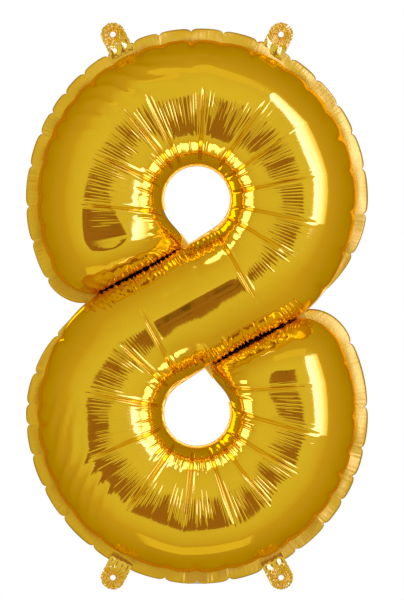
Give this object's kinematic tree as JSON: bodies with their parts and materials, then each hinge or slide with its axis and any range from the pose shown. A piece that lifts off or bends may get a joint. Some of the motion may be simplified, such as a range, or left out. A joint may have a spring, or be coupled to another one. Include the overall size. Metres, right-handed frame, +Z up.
{
  "type": "foil number balloon",
  "caption": "Air-filled metallised film balloon in the shape of a figure eight, with a flat welded rim, hanging tabs and a self-sealing inflation valve.",
  "frame": {"origin": "centre of the inflated balloon, on the weld plane, midway between the two rings", "axes": "front faces -Y, +X to the right seen from the front, +Z up through both rings"},
  "size_m": [0.245, 0.0776, 0.4068],
  "materials": {
    "gold_foil": "polished",
    "valve_film": "gloss"
  },
  "bodies": {
    "balloon": {"front_panel": "gold_foil", "back_panel": "gold_foil", "valve_film_front": "valve_film", "valve_film_back": "valve_film"},
    "tab_upper_left": {"hanging_tab_upper_left": "gold_foil"},
    "tab_upper_right": {"hanging_tab_upper_right": "gold_foil"},
    "tab_lower_left": {"hanging_tab_lower_left": "gold_foil"},
    "tab_lower_right": {"hanging_tab_lower_right": "gold_foil"}
  },
  "joints": [
    {"name": "tab_upper_left_flex", "type": "hinge", "parent": "balloon", "child": "tab_upper_left", "pos_m": [-0.05593, 0, 0.1863], "axis": [0.891, 0, 0.454], "range_deg": [-85, 85], "stiffness_Nm_per_rad": 0.0002},
    {"name": "tab_upper_right_flex", "type": "hinge", "parent": "balloon", "child": "tab_upper_right", "pos_m": [0.05593, 0, 0.1863], "axis": [0.891, 0, -0.454], "range_deg": [-85, 85], "stiffness_Nm_per_rad": 0.0002},
    {"name": "tab_lower_left_flex", "type": "hinge", "parent": "balloon", "child": "tab_lower_left", "pos_m": [-0.05593, 0, -0.1863], "axis": [-0.891, 0, 0.454], "range_deg": [-85, 85], "stiffness_Nm_per_rad": 0.0002},
    {"name": "tab_lower_right_flex", "type": "hinge", "parent": "balloon", "child": "tab_lower_right", "pos_m": [0.05593, 0, -0.1863], "axis": [-0.891, 0, -0.454], "range_deg": [-85, 85], "stiffness_Nm_per_rad": 0.0002}
  ]
}
